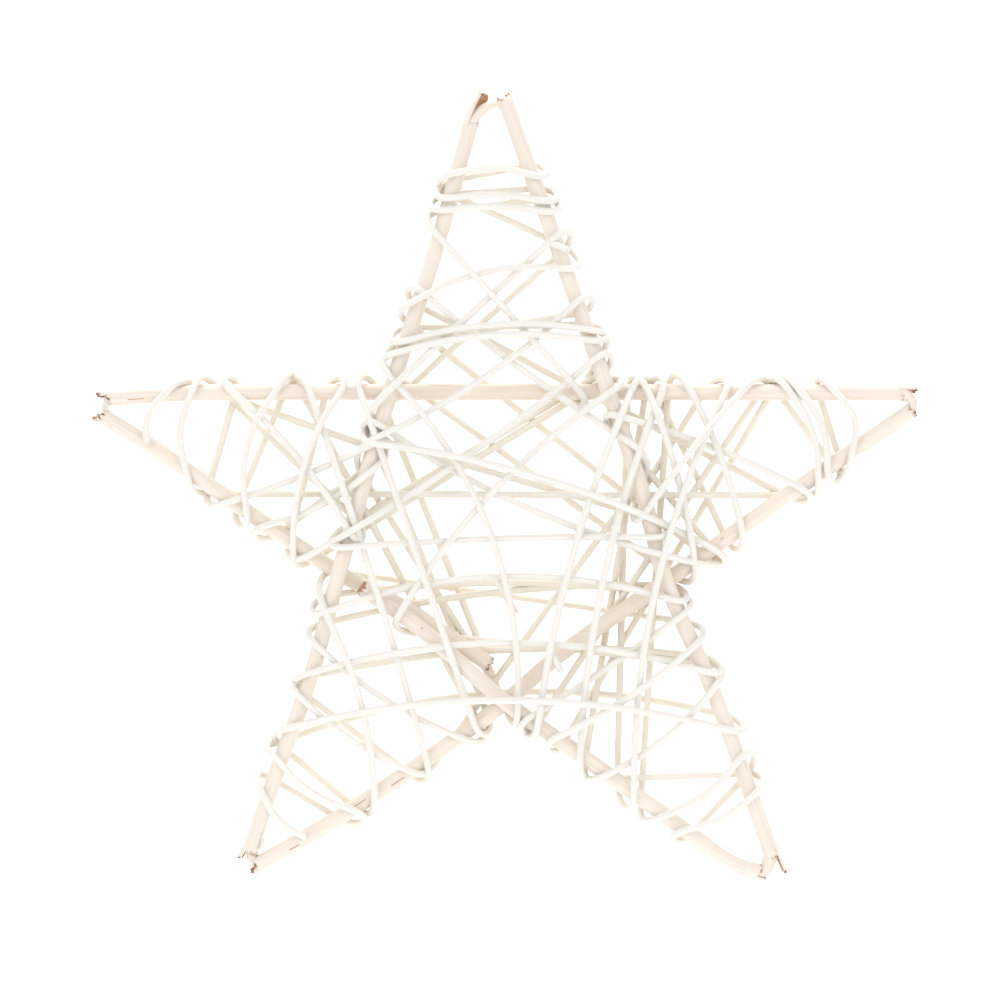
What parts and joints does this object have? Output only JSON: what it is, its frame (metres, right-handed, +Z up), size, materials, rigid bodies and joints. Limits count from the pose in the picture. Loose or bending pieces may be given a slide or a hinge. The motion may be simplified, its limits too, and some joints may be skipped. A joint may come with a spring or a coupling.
{
  "type": "rattan star ornament",
  "caption": "Flat five-pointed star of one bent peeled rattan rod, loosely wound all over with thin pale reed, to hang by its top tip.",
  "frame": {"origin": "the hanging point, under the bend of the top tip, midway between front and back", "axes": "+Z up towards the top tip, -Y out of the star's front, +X to the right as seen from the front"},
  "size_m": [0.2003, 0.0204, 0.192],
  "materials": {
    "peeled_rod": "satin",
    "reed": "matte"
  },
  "bodies": {
    "root": {"frame_rod": "peeled_rod", "reed_winding": "reed"}
  },
  "joints": []
}
